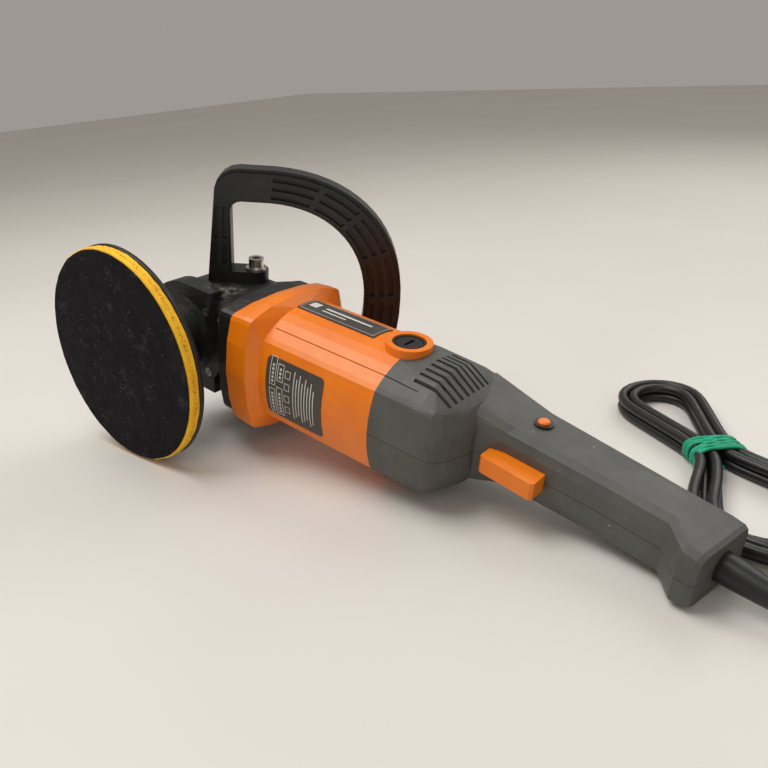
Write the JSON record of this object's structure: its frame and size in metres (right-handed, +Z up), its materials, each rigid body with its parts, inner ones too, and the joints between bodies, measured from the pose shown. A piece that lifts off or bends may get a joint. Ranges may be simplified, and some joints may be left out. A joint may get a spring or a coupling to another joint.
{
  "type": "rotary car polisher",
  "caption": "Electric right-angle polisher for car bodywork with a large hook-and-loop pad, loop handle, long rear grip with trigger, and a mains cord tied in a hank.",
  "frame": {"origin": "middle of the tool's bounding box, without the loose cord, on the surface it lies on", "axes": "+Z up from the surface the tool lies on; +X from the gear head towards the grip and cord; the pad faces -Y"},
  "size_m": [0.6977, 0.344, 0.2252],
  "materials": {
    "cast_black": "textured black cast housing",
    "black_plastic": "matte black",
    "hook_black": "hook-and-loop fabric",
    "foam_yellow": "soft foam",
    "orange_plastic": "satin",
    "gray_shell": "soft-touch matte",
    "label_gray": "printed film",
    "steel": "machined",
    "stainless": "stainless",
    "bearing_steel": "polished",
    "copper": "enamelled wire",
    "brass": "stamped",
    "carbon": "sintered carbon",
    "film_case": "moulded",
    "cord_black": "rubber sheath",
    "tie_green": "elastic band"
  },
  "bodies": {
    "tool": {"gear_case": "cast_black", "bearing_retainer": "cast_black", "retainer_screws": "steel", "spindle_seal": "black_plastic", "lower_spindle_bearing": "bearing_steel", "upper_spindle_bearing": "bearing_steel", "spindle_lock_spring": "steel", "loop_handle": "black_plastic", "handle_bolts": "stainless", "handle_washers": "stainless", "motor_housing": "orange_plastic", "housing_bolts": "steel", "stator_core": "steel", "field_coils": "copper", "fan_baffle": "black_plastic", "front_motor_bearing": "bearing_steel", "rear_motor_bearing": "bearing_steel", "brush_holders": "brass", "carbon_brushes": "carbon", "brush_springs": "steel", "brush_caps": "black_plastic", "brand_plate": "label_gray", "rating_label": "label_gray", "upper_grip_shell": "gray_shell", "lower_grip_shell": "gray_shell", "grip_screws": "steel", "trigger_spring": "steel", "switch_body": "black_plastic", "lock_button_bezel": "black_plastic", "lock_button_spring": "steel", "capacitor": "film_case", "cord_clamp": "black_plastic", "clamp_screws": "steel", "strain_relief": "cord_black", "mains_cord": "cord_black", "cord_hank": "cord_black", "hank_tie": "tie_green", "plug_body": "cord_black", "plug_pins": "stainless"},
    "spindle_set": {"spindle": "steel", "ring_gear": "steel", "gear_circlip": "steel", "hub_insert": "steel", "backing_plate": "black_plastic", "foam_pad": "foam_yellow", "hook_face": "hook_black"},
    "armature": {"armature_shaft": "steel", "pinion": "steel", "armature_core": "steel", "armature_windings": "copper", "commutator": "copper", "cooling_fan": "black_plastic"},
    "trigger_body": {"trigger": "orange_plastic"},
    "lock_on_body": {"lock_on_button": "orange_plastic"},
    "spindle_lock_body": {"spindle_lock_button": "black_plastic"}
  },
  "joints": [
    {"name": "spindle_spin", "type": "hinge", "parent": "tool", "child": "spindle_set", "pos_m": [-0.20558, -0.00266, 0.09], "axis": [0, -1, 0], "continuous": true},
    {"name": "motor_spin", "type": "hinge", "parent": "tool", "child": "armature", "pos_m": [-0.20558, -0.00266, 0.09], "axis": [0.9877, 0, -0.1564], "continuous": true},
    {"name": "trigger_slide", "type": "slide", "parent": "tool", "child": "trigger_body", "axis": [0, 1, 0], "range_m": [0, 0.006], "stiffness_N_per_m": 400, "deforming": ["trigger_spring"]},
    {"name": "lock_on_slide", "type": "slide", "parent": "tool", "child": "lock_on_body", "axis": [-0.1564, 0, -0.9877], "range_m": [0, 0.003], "stiffness_N_per_m": 400, "deforming": ["lock_button_spring"]},
    {"name": "spindle_lock_slide", "type": "slide", "parent": "tool", "child": "spindle_lock_body", "axis": [0, -1, 0], "range_m": [0, 0.006], "stiffness_N_per_m": 400, "deforming": ["spindle_lock_spring"]}
  ],
  "couplings": [
    {"joint": "motor_spin", "follows": "spindle_spin", "ratio": -4}
  ]
}
